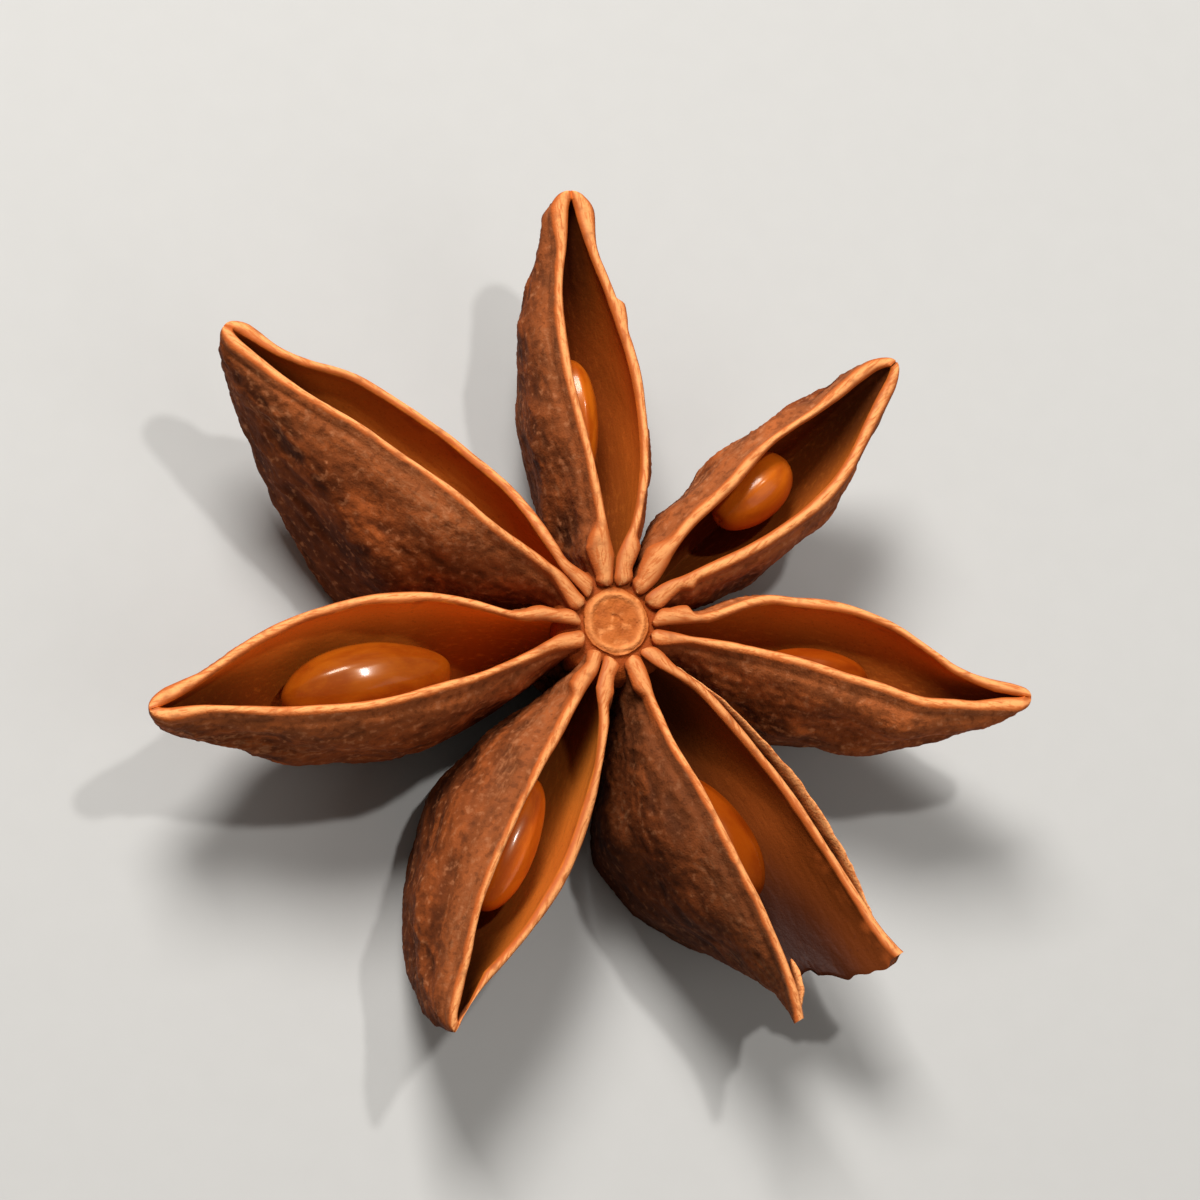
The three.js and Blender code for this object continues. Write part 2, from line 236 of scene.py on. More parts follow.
# How much wider a closed beak's round end is on each side, in millimetres
TIPS = {"right": 0.22, "upper_right": 0.1, "top": 0.45, "upper_left": 0.3, "left": 0.15,
        "lower_left": 0.12, "lower_right": 0.0}
TIP_GROWS = (3.2, 0.8)  # from which to which distance from the beak's end that comes
PINCH = 0.15  # how far the rims lean together before a closed beak
PINCH_GROWS = (6.5, 2.5)

# How bright a carpel's lining, its lining at the beak and at the bottom, and its bark are, beside
# the others', as a fraction. The darker bottom, darkest at a closed beak, is painted shade.
TONES = {
    "right": (1.25, 1.1, 0.8, 1.35),
    "upper_right": (0.9, 0.9, 0.6, 1.1),
    "top": (1.15, 0.95, 0.55, 0.95),
    "upper_left": (1.15, 0.9, 1.0, 1.05),
    "left": (1.5, 1.2, 0.72, 1.25),
    "lower_left": (1.0, 0.75, 0.55, 0.9),
    "lower_right": (0.66, 0.2, 0.4, 0.6),
}
TO_BEAK_TONE = (0.25, 0.85)  # over which part of the length the lining takes its beak's tone
TO_BOTTOM_TONE = (0.2, 0.6)  # over which part of the wall it takes the bottom's painted shade
BEAK_BOTTOM = 0.4  # how bright the bottom of a hollow is at a closed beak, as painted shade
BEAK_BOTTOM_FROM = (0.6, 0.85)

# Red, green and blue of a lining beside the others', and of all linings where they start
LINING_TINTS = {"lower_right": (1.0, 0.82, 1.0), "top": (1.05, 0.88, 0.85),
                "left": (1.1, 1.14, 1.0), "right": (1.12, 1.12, 1.1)}
PLAIN_TINT = (1, 1, 1)
TINT_AT_COLUMN = (0.87, 1.0, 1.0)
TINT_AT_COLUMN_ENDS = (0.1, 0.5)

# Where the rim's colours lie, counting up the rim from 0 at its edge to 1 at its crown, or down
# the wall in millimetres. The paler crest is a painted highlight on the rim's own pale colour.
CREST = (0.4, 0.9)
OUTER_FRINGE = (0.12, 0.5)
INNER_FRINGE = (-0.1, 0.3)
FRINGE_VARIES = 0.16
WIDE_RIM = (0.02, 0.26)
RIM_IS_WIDE = (3.6, 6.0)  # up to which distance from the axis
LOBE_COLOUR = (3.4, 5.5)
LOBE_FACE = ((0.005, 0.03), (0.5, 1.3))  # the rims' ends at the column: along, and down

# How bright a seed is beside the others, as red, green and blue
SEED_TONES = {
    "right": (0.48, 0.34, 0.4),
    "upper_right": (0.97, 0.97, 0.97),
    "top": (0.9, 0.9, 0.9),
    "left": (0.54, 0.53, 0.5),
    "lower_left": (1.2, 1.05, 0.9),
    "lower_right": (0.44, 0.33, 0.3),
}

# The seeds that show: carpel, distance from the axis, distance to the left, depth under the rims,
# and half the length, thickness and height
SEEDS = {
    "right": (10.4, -0.3, 2.6, (2.8, 1.3, 1.6)),
    "upper_right": (10.4, 0.2, 2.3, (2.35, 1.5, 1.6)),
    "top": (10.5, 0.62, 2.8, (3.1, 1.2, 1.7)),
    "left": (12.2, 0.1, 2.8, (4.2, 2.0, 2.0)),
    "lower_left": (11.9, -0.25, 2.3, (3.55, 1.4, 1.7)),
    "lower_right": (11.2, -0.4, 2.6, (3.4, 1.65, 1.8)),
}
DULL_SEEDS = ("right", "lower_right")

# The column's outline, as [radius, height], from the stalk scar up to the rounded edge of its top
COLUMN_OUTLINE = ((0, 0), (1.5, 0), (1.62, 0.5), (2.8, 1.1), (3.3, 2.2), (2.7, 4.85), (2.95, 6.5),
                  (2.8, 7.05), (2.35, 7.3), (1.84, 7.4), (1.73, 7.3), (1.67, 7.42), (1.6, 7.53))
COLUMN_TOP = 7.45
COLUMN_RIPPLE = 0.1
OUTLINE_SOFTENED = 5  # over how many points each way the outline's corners are rounded
RING_RADIUS = 1.32  # where the raised ring round the column's top stands
RING_HEIGHT = 0.12
RING_WIDTH = 0.16
RING_BENDS = 0.05
RING_VARIES = 0.35
MOTTLE_HEIGHT = 0.03
DISC_JOINS = 0.16  # over what width the top joins the edge
COLUMN_SPOKES = 360  # points round the column
COLUMN_STEPS = 150  # points from the scar to the edge of the top
DISC_STEPS = 70  # points from that edge to the middle
MARK_AT = (-0.1, -0.12)  # the small curved mark on the top: an arc of a ring round here
MARK_RADIUS = 0.45
MARK_WIDTH = 0.07
MARK_DEPTH = 0.08
MARK_FACES = 1.1  # the direction of its middle, in radians
MARK_FADES = (0.2, 0.8)
PITS_IN_MOTTLE = 0.5

# The split beak: its outer layer stands off from its left rim, and its right rim ends in a hook.
# Comes and goes are parts of the strip's length, and the rest is in millimetres.
SPLIT_ALONG = (2.7, 20.2)
SPLIT_OFF = (0.42, 0.42)  # how far off it stands near the column, and how much more later
SPLIT_NEAR = ((0, 0.05), (0.7, 1))
SPLIT_AWAY = ((0.1, 0.45), (0.66, 1))
SPLIT_CREST = (0.1, 0.12, -0.14)  # outwards, up, and how much more up where away
SPLIT_FOOT = (0.1, 0.4, -0.9, -0.6)  # outwards, part of the crest's way off, up, more up
SPLIT_HALF_WIDTH = 0.15
HOOK_FROM_END = 0.15
HOOK_LENGTH = 2.5
HOOK_INWARDS = 0.8
HOOK_TURNS_IN = 0.6  # how soon it has turned inwards: a power
HOOK_CREST = (0.1, -0.5)  # height of its crest, and how far that falls
HOOK_FOOT = -1.1
HOOK_HALF_WIDTH = 0.2
STRIP_UNEVEN = 0.03
# How far up a strip, from -1 under it to 1 on top, the rim colour and the painted highlight along its
# crest lie
STRIP_RIM = (0.0, 0.5)
STRIP_CREST = (0.35, 0.85)
STRIP_TONE = 0.6  # how bright the bark of both is
STRIP_DOWN = 0.2  # where on a wall their bark seems to lie, and how much the folds' painted light and shade lightens their tops and darkens their undersides
STRIP_FOLD = 0.3
STRIP_STEPS = 90
STRIP_SPOKES = 28

# The seeds' own shape
SEED_SLIMMER = 0.1  # how much slimmer a seed is towards the column, as a part
SEED_RIDGE = (0.035, 0.16)  # height and width of the ridges above and below
SCAR_WIDTH = 0.16
SCAR_DEPTH = (0.14, 0.35, 0.25)  # part of the half length, times these in the middle and aside
SEED_DENTS = 0.025
SEED_ENDS = 0.86  # below 1 a seed's ends are rounder than an ellipse's, above 1 sharper
SEED_ENDS_LONG = 1.05
LONG_SEED = 4
SEED_STEPS = 110
SEED_SPOKES = 120

# Colours as they look, from 0 to 255
# The rims' pale colour, which along the crest is also a painted highlight; RIM_EDGE on their sides is
# also painted shade, besides their own speckle and fibres
RIM_PALE_AND_HIGHLIGHT = (235, 157, 94)
RIM_EDGE = (178, 86, 33)
RIM_STAIN = (140, 70, 32)
LINING = (211, 112, 36)
# The darker lining colour: painted shade towards the bottom of the hollow, and the lining's own dark
# speckle
LINING_SHADE_AND_SPECKLE = (142, 66, 18)
LINING_LIGHT = (220, 122, 42)
FLANK = (134, 65, 26)
FLANK_DARK = (70, 30, 9)
FLANK_GREY = (142, 88, 54)
FLANK_STREAK = (156, 78, 33)
FLANK_FLECK = (172, 106, 66)
FLANK_EDGE = (168, 94, 50)
COLUMN = (176, 92, 36)
COLUMN_DEEP = (144, 68, 22)
COLUMN_PALE = (232, 148, 84)
COLLAR = (146, 64, 17)
SEED = (198, 97, 14)
SEED_DEEP = (170, 72, 8)
SEED_PALE = (214, 118, 34)
SEED_SHINE = (255, 214, 160)
FLOOR = (184, 182, 178)
FLOOR_VARIES = 3
SURROUND = (240, 236, 230)

# The finishes' noises: how fine, in the same way; detail; distortion
PATTERNS = {
    "speckle": (7, 4, 0),
    "patches": ((0.16, 0.4, 0.4), 3, 0.4),
    "streaks": ((0.5, 1.1, 1.1), 4, 0.5),
    "fine": ((1.6, 6, 6), 3, 0),
    "flecks": (2.6, 6, 0),
    "pits": (2.6, 5, 0),
    "stains": (1.3, 4, 0),
    "rim_fibres": ((1.3, 7.5, 7.5), 4, 0.4),
    "roughness": (9, 5, 0),
    "column_mottle": (1.6, 4, 0.2),
    "column_speckle": (9, 4, 0),
    "column_worn": (1.1, 5, 0.6),
    "seed_slow": ((0.35, 0.9, 0.9), 3, 0.5),
    "seed_fine": ((2, 9, 9), 3, 0),
    "paper": (0.6, 4, 0),
}

# Layers of colour: from which value of its noise each one starts to show, at which it is complete,
# and how much of what lies under it it then hides
LAYERS = {
    "flank": (0.15, 0.95, 1),
    "streak": (0.52, 0.72, 1),
    "patch": (0.5, 0.66, 1),
    "patch_fine": (0.45, 0.7, 1),
    "under_rim": (0.34, 0.02, 0.4),
    "low": (0.35, 0.9, 0.6),
    "fleck": (0.54, 0.72, 0.7),
    "pit": (0.46, 0.36, 0.38),
    # the lining painted darker towards the bottom of the hollow: painted shade
    "bottom": (0.1, 0.95, 1),
    "lining_fine": (0.5, 0.75, 0.35),
    "lining_speckle": (0.55, 0.75, 0.35),
    "rim_stain": (0.5, 0.75, 0.6),
    "rim_speckle": (0.5, 0.8, 0.3),
    "rim_fibre": (0.48, 0.64, 0.7),
    "column_mottle": (0.42, 0.68, 0.5),
    "column_worn": (0.5, 0.66, 0.6),
    "column_side": (0.35, 0.65, 1),
    "collar": (5.5, 7.0, 1),
    "seed_slow": (0.35, 0.7, 1),
    "seed_end": (0.18, 0.5, 0.5),
    "seed_fine": (0.5, 0.8, 0.25),
}
FOLD_LIGHT = 0.5  # how much the folds' height lightens the bark: painted light on their ridges and painted shade in the hollows
LOBE_STAINED = 0.3
RING_PALE = 0.6
PIT_DEEP = 0.45
SCAR_PALE = 0.75

# Gloss: how rough at the two ends of a range, depth of the fine relief in millimetres, and the rest
BARK_ROUGH = 0.76
LINING_ROUGH = 0.52
SPECKLE_ROUGH = (-0.06, 0.1)
BARK_BUMPS = (0.035, 0.02)
BUMP_STRENGTH = (1.0, 0.35)  # on the bark, and on the lining
FINE_STRENGTH = 0.6
COLUMN_ROUGH = (0.55, 0.75)
COLUMN_BUMP = 0.06
SEED_ROUGH = (0.26, 0.36)
SEED_BUMP = (0.004, 0.5)
FLOOR_ROUGH = 0.9
BARK_IOR = 1.45
BARK_SPECULAR = 0.12
SEED_IOR = 1.5
SEED_COAT_ROUGH = 0.13
SEED_GLOSS = {"seed_gloss": (0.35, 0.3), "seed_dull": (0.05, 0.0)}  # specular level, and coat

# The floor and the lights, in millimetres: energy, place and size of each
FLOOR_HALF = 900
LIGHTS = {
    "key": (2.6, (-130, 260, 330), 160),
    "glint": (0.6, (70, 130, 420), 24),
    "fill": (0.3, (260, -160, 260), 320),
}
LIT_POINT = (0, 0, 5)
SURROUND_STRENGTH = 0.17


def hump(s, peak, power):
    """Nothing at 0 and 1 and one at `peak`: ((s/p)^p ((1-s)/(1-p))^(1-p)) to the power."""
    return ((s / peak) ** peak * ((1 - s) / (1 - peak)) ** (1 - peak)) ** power


def smooth(x, low, high):
    """From 0 at `low` to 1 at `high` along 3t^2 - 2t^3."""
    t = np.clip((x - low) / (high - low), 0, 1)
    return t * t * (3 - 2 * t)


def mix(a, b, t):
    """A part t of the way from a to b."""
    return a + (b - a) * t


def cloud(points, seed):
    """Smooth noise from -1 to 1: random values at the whole-number corners of a 3D lattice, blended
    by 6f^5 - 15f^4 + 10f^3 of the fraction f of the way between two corners."""
    values = np.random.default_rng(seed).uniform(-1, 1, LATTICE_VALUES)
    cell = np.floor(points).astype(np.int64)
    part = points - cell
    blend = part ** 3 * (part * (part * 6 - 15) + 10)
    total = np.zeros(points.shape[:-1])
    for corner in np.ndindex(2, 2, 2):
        x, y, z = np.moveaxis((cell + corner) * LATTICE_PRIMES, -1, 0)
        near = np.where(np.array(corner) == 1, blend, 1 - blend).prod(axis=-1)
        total += near * values[(x ^ y ^ z) % LATTICE_VALUES]
    return total


def clouds(points, kind, shift=(0, 0, 0)):
    """A noise of the table, summed over octaves: each has twice the frequency and half the height
    of the last."""
    fineness, seed, octaves = NOISES[kind]
    points = points * fineness + shift
    return sum(cloud(points * 2 ** k, seed + k) / 2 ** k for k in range(octaves))


def folds(points, kind):
    """Sharp ridges between round hollows: 1 - 2 |noise| of a bent copy of the points."""
    fineness, seed, _ = NOISES[kind]
    points = points * fineness
    bends = [cloud(points * BEND_FINENESS, seed + k) for k in (1, 2, 3)]
    return 1 - 2 * np.abs(cloud(points + BEND * np.stack(bends, axis=-1), seed))


def station(carpel, s):
    """What a carpel measures at the part s of its length, from the humps and powers of the solids:
    depth, hollow, roll, half opening, height, distance along, middle line, bulge and rake."""
    split = carpel["split"] > CLOSED
    at_beak = DEPTH_AT_SPLIT_BEAK if split else DEPTH_AT_BEAK
    missing = 1 - mix(DEPTH_AT_COLUMN, at_beak, carpel["deepest"])
    shape = mix(DEPTH_AT_COLUMN, at_beak, s) + missing * hump(s, carpel["deepest"], carpel["full"])
    rolled = smooth(s, 0, ROLL_REACHED_AT) * mix(1, ROLL_AT_BEAK, s ** BEAK_SETS_IN)
    depth = (RIM_LEVEL + RIM_ARCH - carpel["clear"]) / math.cos(math.radians(carpel["roll"])) * shape
    share = HOLLOW_DEPTH * mix(HOLLOW_AT_ENDS, 1, hump(s, *HOLLOW_HUMP))
    if split:
        share = mix(share, HOLLOW_AT_SPLIT_BEAK, s ** HOLLOW_SETS_IN)
    opened = carpel["gape"] * hump(s, carpel["fullest"], GAPE_NARROWNESS)
    parted = (carpel["split"] - SLIT_HALF) * s ** SPLIT_SETS_IN
    return {
        "depth": depth,
        "hollow": np.minimum(depth * share, depth - KEEL_THICKNESS),
        "roll": math.radians(carpel["roll"]) * rolled,
        "half": SLIT_HALF + opened + parted,
        "height": RIM_LEVEL + RIM_ARCH * hump(s, *ARCH_HUMP) + carpel["lift"] * s ** BEAK_SETS_IN,
        "along": mix(RIM_FROM_AXIS, carpel["length"], s),
        "middle": carpel["sway"] * hump(s, *SWAY_HUMP) + carpel["ess"] * np.sin(2 * math.pi * s),
        "swell": FLANK_SWELL_LEAST + FLANK_SWELL * hump(s, *SWELL_HUMP),
        "rake": carpel["rake"] * s ** RAKE_SETS_IN,
    }


def coarse_wrinkle(carpel, s, t):
    """The solids' wrinkles: sin(19s + 5t) sin(6s - 9t) + 0.6 sin(5s + 11t), fading at the edges."""
    shift = math.radians(carpel["azimuth"]) * WRINKLES_SHIFT
    a, b, c, d, e, g = WRINKLES
    slanting = np.sin(a * s + b * t + shift) * np.sin(c * s + d * t + 2 * shift)
    lengthwise = LENGTHWISE_PART * np.sin(e * s + g * t + shift)
    fade = np.sin(math.pi * np.abs(t)) * smooth(s, *WRINKLES_START) * smooth(1 - s, *WRINKLES_STOP)
    return COARSE_WRINKLE * fade * (slanting + lengthwise)


def spans(table, name, side, along):
    """What a table says for one rim, at these distances from the axis, all its lines added up."""
    total = np.zeros_like(along)
    for carpel, its_side, extra, start, end, comes, goes in table:
        if carpel == name and its_side == side:
            there = smooth(along, start, start + comes) * (1 - smooth(along, end - goes, end))
            total = total + extra * there
    return total


def room(name, side, along):
    """How far from its middle line a carpel reaches before it meets its neighbour: the distance
    along times the tangent of half the angle between the two, less half a cleft."""
    names = list(CARPELS)
    neighbour = names[(names.index(name) + side) % len(names)]
    between = (CARPELS[neighbour]["azimuth"] - CARPELS[name]["azimuth"]) * side % 360
    half = math.radians(between / 2)
    return along * math.tan(half) - CLEFT / 2 / math.cos(half)


def half_section(name, side, s, at):
    """One side of a carpel's section: the outer path from the rim's crown down the flank to the
    keel, and the inner path from the crown down the lining to the middle. A rim is half an ellipse
    over its outer and inner edge; a wall is edge (1 - t) + swell sin(pi t^0.9) wide, t down."""
    carpel = CARPELS[name]
    number = list(CARPELS).index(name) * 2 + (side == LEFT)
    line = np.concatenate([at["along"], np.full_like(s, number * RIMS_APART), np.zeros_like(s)], axis=1)
    uneven = [clouds(line, "rim", (0, 0, WAYS_APART * k))[:, None] for k in range(3)]
    lobe_end = np.clip((at["along"] - RIM_FROM_AXIS) / LOBE_ROUNDS_OVER, LOBE_END_LEAST, 1)
    rounded = np.sqrt(1 - (1 - lobe_end) ** 2)
    left_over = (1 - s) * (carpel["length"] - RIM_FROM_AXIS)
    to_beak = np.zeros_like(s) + BEAK_ROUNDS_OVER
    if carpel["split"] == CLOSED:
        to_beak = np.minimum(left_over, BEAK_ROUNDS_OVER)
    tip = TIPS[name] * smooth(left_over, *TIP_GROWS)
    beak_outer = np.sqrt(1 - (1 - to_beak / BEAK_ROUNDS_OVER) ** 2)
    inner_room = BEAK_ROUNDS_OVER - BEAK_WALL * RIM_HALF_WIDTH
    inside_beak = np.clip((to_beak - BEAK_ROUNDS_OVER + inner_room) / inner_room, 0, 1)
    beak_inner = np.sqrt(1 - (1 - inside_beak) ** 2)
    pinched = PINCH * smooth(left_over, *PINCH_GROWS) if carpel["split"] == CLOSED else 0
    leaning = spans(LEANINGS, name, side, at["along"])
    leaning = leaning + CLOSED_AT_COLUMN * (1 - smooth(at["along"], *COLUMN_OPENS))
    half = at["half"] + RIM_UNEVEN * uneven[0] - pinched - leaning
    width = RIM_HALF_WIDTH * (1 + RIM_WIDTH_VARIES * uneven[1])
    plain = (half + tip + width * rounded) * mix(WIDTH_AT_BEAK_END, 1, beak_outer)
    spare = np.maximum(room(name, side, at["along"]) - plain, 0)
    lobe = np.minimum(spare, LOBE_MOST) * (1 - smooth(at["along"], *LOBES_NARROW))
    lumps = 1 + PAD_VARIES * clouds(line, "pad", (0, 0, PADS_APART))[:, None]
    pad = spans(WIDENINGS, name, side, at["along"]) * lumps
    extra = np.minimum(np.maximum(pad, lobe), spare) * rounded
    outer = plain + extra
    inner = np.maximum((half - width * rounded) * beak_inner, SLIT_LEAST)
    crown = RIM_CROWN * mix(LOBE_CROWN, 1, smooth(at["along"], *CROWN_GROWS))
    crown = (crown + PAD_CROWN * extra) * rounded * mix(CROWN_AT_BEAK_END, 1, beak_outer)
    crown = crown + RIM_UNEVEN * uneven[2] * beak_outer
    middle = (outer + inner) / 2
    over = np.linspace(0.5, 0, ARC_STEPS + 1)[None, :] * math.pi
    arc_up = crown * np.sin(over)
    inner_arc_up = crown * mix(1, np.sin(over), beak_inner)
    outer_arc = middle + (outer - middle) * np.cos(over)
    inner_arc = middle - (middle - inner) * np.cos(over)
    t = np.linspace(0, 1, WALL_STEPS + 1)[None, 1:]
    bulge = np.sin(math.pi * t ** SWELL_DROP)
    relief = coarse_wrinkle(carpel, s, t if side == LEFT else -t)
    lean = plain * (1 - t) + extra * (1 - t) ** PAD_CLINGS
    lean = lean + (at["swell"] * bulge + relief) * mix(WIDTH_AT_BEAK_END, 1, beak_outer)
    flank_up = -at["depth"] * t * mix(DEPTH_AT_BEAK_END, 1, beak_outer)
    lining = inner * (1 - t) + at["swell"] * LINING_SWELL * bulge * beak_inner
    lining_up = -at["hollow"] * t * beak_inner
    return {
        "outer": (np.hstack([outer_arc, lean]), np.hstack([arc_up, flank_up])),
        "inner": (np.hstack([inner_arc, lining]), np.hstack([inner_arc_up, lining_up])),
    }


def ring_of(left_outer, right_outer, right_inner, left_inner):
    """Joins four half paths into the ring round a section, each shared point once."""
    return np.hstack([left_outer, right_outer[:, -2::-1], right_inner[:, 1:],
                      left_inner[:, -2:0:-1]])


def carpel_grid(name, s):
    """All section points of a carpel in its own frame, as along, to the left and up, turned by the
    roll; how far down its wall each point is, and whether inside; and what the carpel measures."""
    carpel = CARPELS[name]
    at = station(carpel, s)
    left = half_section(name, LEFT, s, at)
    right = half_section(name, RIGHT, s, at)
    across = ring_of(left["outer"][0], -right["outer"][0], -right["inner"][0], left["inner"][0])
    up = ring_of(left["outer"][1], right["outer"][1], right["inner"][1], left["inner"][1])
    ramp = np.hstack([np.linspace(-1, 0, ARC_STEPS + 1), np.linspace(0, 1, WALL_STEPS + 1)[1:]])
    ramp = np.repeat(ramp[None, :], len(s), axis=0)
    down = ring_of(ramp, ramp, ramp, ramp)
    ones = np.ones_like(ramp)
    inside = ring_of(0 * ones, 0 * ones, ones, ones)
    turned = across * np.cos(at["roll"]) - up * np.sin(at["roll"])
    height = at["height"] + across * np.sin(at["roll"]) + up * np.cos(at["roll"])
    fallen = (np.maximum(-up, 0) / at["depth"]) ** RAKE_DOWN_THE_WALL
    along = at["along"] - at["rake"] * fallen + np.zeros_like(across)
    return np.stack([along, at["middle"] + turned, height], axis=-1), down, inside, at


def headed(points, azimuth):
    """Turns points from a carpel's own frame to its azimuth round the column."""
    angle = math.radians(azimuth)
    along, aside, height = np.moveaxis(points, -1, 0)
    return np.stack([along * math.cos(angle) - aside * math.sin(angle),
                     along * math.sin(angle) + aside * math.cos(angle), height], axis=-1)


def grid_normals(points):
    """Unit normals of a grid that closes on itself sideways: the cross product of the steps from
    ring to ring and of the steps round a ring."""
    lengthwise = np.gradient(points, axis=0)
    around = np.roll(points, -1, axis=1) - np.roll(points, 1, axis=1)
    normals = np.cross(lengthwise, around)
    return normals / np.maximum(np.linalg.norm(normals, axis=-1, keepdims=True), SHORTEST)


def carpel_relief(grain, along, down, inside, depth):
    """Height of the fine relief over the plain surface: folds, creases and grain on the bark, with a
    groove under the rim; slow waves and lengthwise fibres on the lining; small unevenness on the
    rim. Returned with the height of folds and creases together, which the colours follow too: the
    bark is painted lighter on the ridges and darker in the hollows, as painted light and shade."""
    below = np.maximum(down, 0) * depth
    on_bark = smooth(below, *BARK_FROM) * (1 - inside)
    on_lining = smooth(below, *LINING_FROM) * inside
    on_rim = 1 - smooth(below, *RIM_UP_TO)
    fold = mix(clouds(grain, "soft_fold"), folds(grain, "fold"), FOLD_SHARP)
    crease = folds(grain, "crease")
    groove = np.exp(-((below - GROOVE_AT) / GROOVE_WIDTH) ** 2) * (1 - inside) * (down > 0)
    height = on_bark * (FOLD * fold + CREASE * crease + GRAIN * clouds(grain, "grain"))
    height = height - UNDER_RIM_GROOVE * groove
    wave = LINING_WAVE * clouds(grain, "lining_wave")
    height = height + on_lining * (wave + LINING_FIBRE * clouds(grain, "lining_fibre"))
    height = height + on_rim * RIM_GRAIN * clouds(grain, "rim_grain")
    on_lobe = on_rim * (1 - smooth(along, *LUMPS_UP_TO))
    height = height + on_lobe * PAD_LUMPS * clouds(grain, "lobe_lumps")
    return height, FOLD_SHOWS * fold + CREASE_SHOWS * crease


def ring_faces(rows, columns):
    """Corner numbers of the four-sided faces of a grid that closes on itself sideways."""
    row = np.arange(rows - 1)[:, None] * columns
    here = np.arange(columns)[None, :]
    there = (here + 1) % columns
    return np.stack([row + here, row + there, row + columns + there, row + columns + here],
                    axis=-1).reshape(-1, 4)


def end_faces(columns, base, turned):
    """Closes the end of a hull between its outer and inner path: outer point k joins k + 1 and their
    partners on the inner path, which runs back round the ring."""
    crown = columns // 2
    k = np.arange(1, crown - 1)
    quads = np.stack([k, k + 1, (columns - k - 1) % columns, (columns - k) % columns], axis=-1)
    threes = np.array([[0, 1, columns - 1], [crown - 1, crown, crown + 1]])
    if turned:
        quads, threes = quads[:, ::-1], threes[:, ::-1]
    return quads + base, threes + base


def make_piece(name, points, faces, attributes, finish, nodes):
    """Puts arrays of points in millimetres, faces and point attributes into a new mesh object."""
    mesh = bpy.data.meshes.new(name)
    mesh.from_pydata((points.reshape(-1, 3) * MM).tolist(), [], faces)
    for key, values in attributes.items():
        values = np.asarray(values, np.float32)
        if values.shape[-1] == 3 and values.ndim == 3:
            mesh.attributes.new(key, "FLOAT_VECTOR", "POINT").data.foreach_set("vector", values.ravel())
        else:
            mesh.attributes.new(key, "FLOAT", "POINT").data.foreach_set("value", values.ravel())
    mesh.polygons.foreach_set("use_smooth", np.ones(len(mesh.polygons), bool))
    mesh.materials.append(finish)
    mesh.update()
    piece = bpy.data.objects.new(name, mesh)
    bpy.context.scene.collection.objects.link(piece)
    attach(piece, BODY)
    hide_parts(*nodes)
    return piece


def spread(count, at_start, at_end):
    """Parts from 0 to 1, closer together at the start and the end: an even spread with a slow
    start and finish mixed in, (1 - cos(pi x)) / 2."""
    even = np.linspace(0, 1, count)
    eased = (1 - np.cos(math.pi * even)) / 2
    return mix(even, eased, mix(at_start, at_end, even))


def carpel_tone(name, s, down, inside):
    """The tone of every point: the lining's goes from its own to the beak's along the carpel and to
    the bottom's down the wall, times its tint, and the bark has one of its own. The darkening to
    the bottom's tone is painted shade."""
    tone, at_beak, at_bottom, bark_tone = TONES[name]
    tone = mix(tone, at_beak, smooth(s, *TO_BEAK_TONE))
    # Painted shade: darker down the wall towards the bottom, darker still at a closed beak
    if CARPELS[name]["split"] == CLOSED:
        at_bottom = at_bottom * mix(1, BEAK_BOTTOM, smooth(s, *BEAK_BOTTOM_FROM))
    tone = tone * mix(1, at_bottom, smooth(down, *TO_BOTTOM_TONE))
    at_column = mix(np.array(TINT_AT_COLUMN), 1, smooth(s, *TINT_AT_COLUMN_ENDS)[..., None])
    tint = np.array(LINING_TINTS.get(name, PLAIN_TINT)) * at_column
    return mix(bark_tone, tone, inside)[..., None] * mix(1, tint, inside[..., None])


def rim_colour(s, along, down, below, inside, grain):
    """How much of every point is rim: near the column its whole width, further out a narrow line
    with an uneven edge, and all of the rounded ends at the column."""
    fringe = -down + FRINGE_VARIES * clouds(grain, "fringe")
    narrow = mix(smooth(fringe, *OUTER_FRINGE), smooth(fringe, *INNER_FRINGE), inside)
    wide = 1 - smooth(below, *WIDE_RIM)
    rim = mix(narrow, wide, 1 - smooth(along, *RIM_IS_WIDE))
    face_along, face_down = LOBE_FACE
    return np.maximum(rim, (1 - smooth(s, *face_along)) * (1 - smooth(below, *face_down)))


